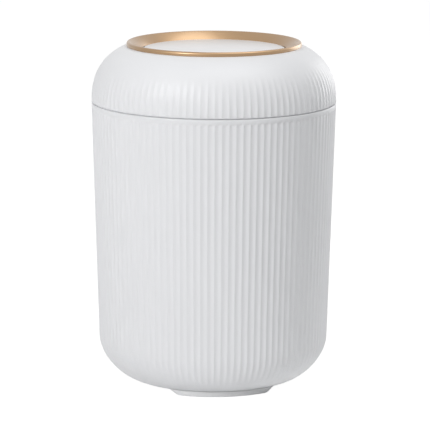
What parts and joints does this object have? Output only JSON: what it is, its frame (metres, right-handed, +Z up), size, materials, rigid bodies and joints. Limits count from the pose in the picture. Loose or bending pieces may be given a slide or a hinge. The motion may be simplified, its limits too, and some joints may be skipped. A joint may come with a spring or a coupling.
{
  "type": "push top countertop bin",
  "caption": "Fluted round countertop bin with a lift-off domed lid, a metal bezel ring and a recessed round flap that is pressed to spring open.",
  "frame": {"origin": "centre of the floor plane that the foot pads stand on, under the middle of the bin", "axes": "+Z up along the bin's axis, front and latch towards -Y, hinge of the flap towards +Y"},
  "size_m": [0.135, 0.135, 0.1891],
  "materials": {
    "white_plastic": "fine matt moulded white",
    "gold_ring": "satin champagne gold anodised",
    "inner_plastic": "plain moulded off-white",
    "spring_steel": "drawn spring wire",
    "screw_steel": "zinc plated",
    "foot_rubber": "pale matt rubber"
  },
  "bodies": {
    "bin": {"bin_body": "white_plastic", "foot_pads": "foot_rubber"},
    "lid": {"lid_dome": "white_plastic", "bezel_ring": "gold_ring", "throat_frame": "inner_plastic", "frame_screws": "screw_steel", "spring_pin": "spring_steel", "torsion_spring_left": "spring_steel", "torsion_spring_right": "spring_steel", "latch_housing": "inner_plastic", "latch_end_cap": "inner_plastic", "latch_spring": "spring_steel", "cam_follower": "spring_steel", "latch_screws": "screw_steel"},
    "hinge_axle": {"hinge_pin": "spring_steel"},
    "flap": {"flap_cover": "white_plastic", "flap_base": "inner_plastic", "striker": "inner_plastic", "striker_screw": "screw_steel"},
    "plunger": {"latch_plunger": "inner_plastic", "jaw_pins": "spring_steel"},
    "jaw_left": {"latch_jaw_left": "inner_plastic"},
    "jaw_right": {"latch_jaw_right": "inner_plastic"}
  },
  "joints": [
    {"name": "lid_lift", "type": "slide", "parent": "bin", "child": "lid", "axis": [0, 0, 1], "range_m": [0, 0.06]},
    {"name": "flap_press", "type": "hinge", "parent": "lid", "child": "hinge_axle", "pos_m": [0, 0.0335, 0.18347], "axis": [-1, 0, 0], "range_deg": [-1.7, 0], "stiffness_Nm_per_rad": 0.2, "springref_deg": 2.86},
    {"name": "flap_open", "type": "hinge", "parent": "hinge_axle", "child": "flap", "pos_m": [0, 0.0335, 0.18347], "axis": [-1, 0, 0], "range_deg": [0, 75]},
    {"name": "latch_travel", "type": "slide", "parent": "lid", "child": "plunger", "axis": [0, 0, 1], "range_m": [-0.00205, 0], "stiffness_N_per_m": 20, "springref_m": 0.001, "deforming": ["latch_spring"]},
    {"name": "jaw_left_close", "type": "hinge", "parent": "plunger", "child": "jaw_left", "pos_m": [-0.0056, -0.0357, 0.16547], "axis": [0, 1, 0], "range_deg": [0, 9], "stiffness_Nm_per_rad": 0.0005, "springref_deg": -5.73},
    {"name": "jaw_right_close", "type": "hinge", "parent": "plunger", "child": "jaw_right", "pos_m": [0.0056, -0.0357, 0.16547], "axis": [0, -1, 0], "range_deg": [0, 9], "stiffness_Nm_per_rad": 0.0005, "springref_deg": -5.73}
  ],
  "couplings": [
    {"joint": "flap_press", "follows": "latch_travel", "rad_per_m": 14.45},
    {"joint": "jaw_right_close", "follows": "jaw_left_close", "ratio": 1}
  ]
}
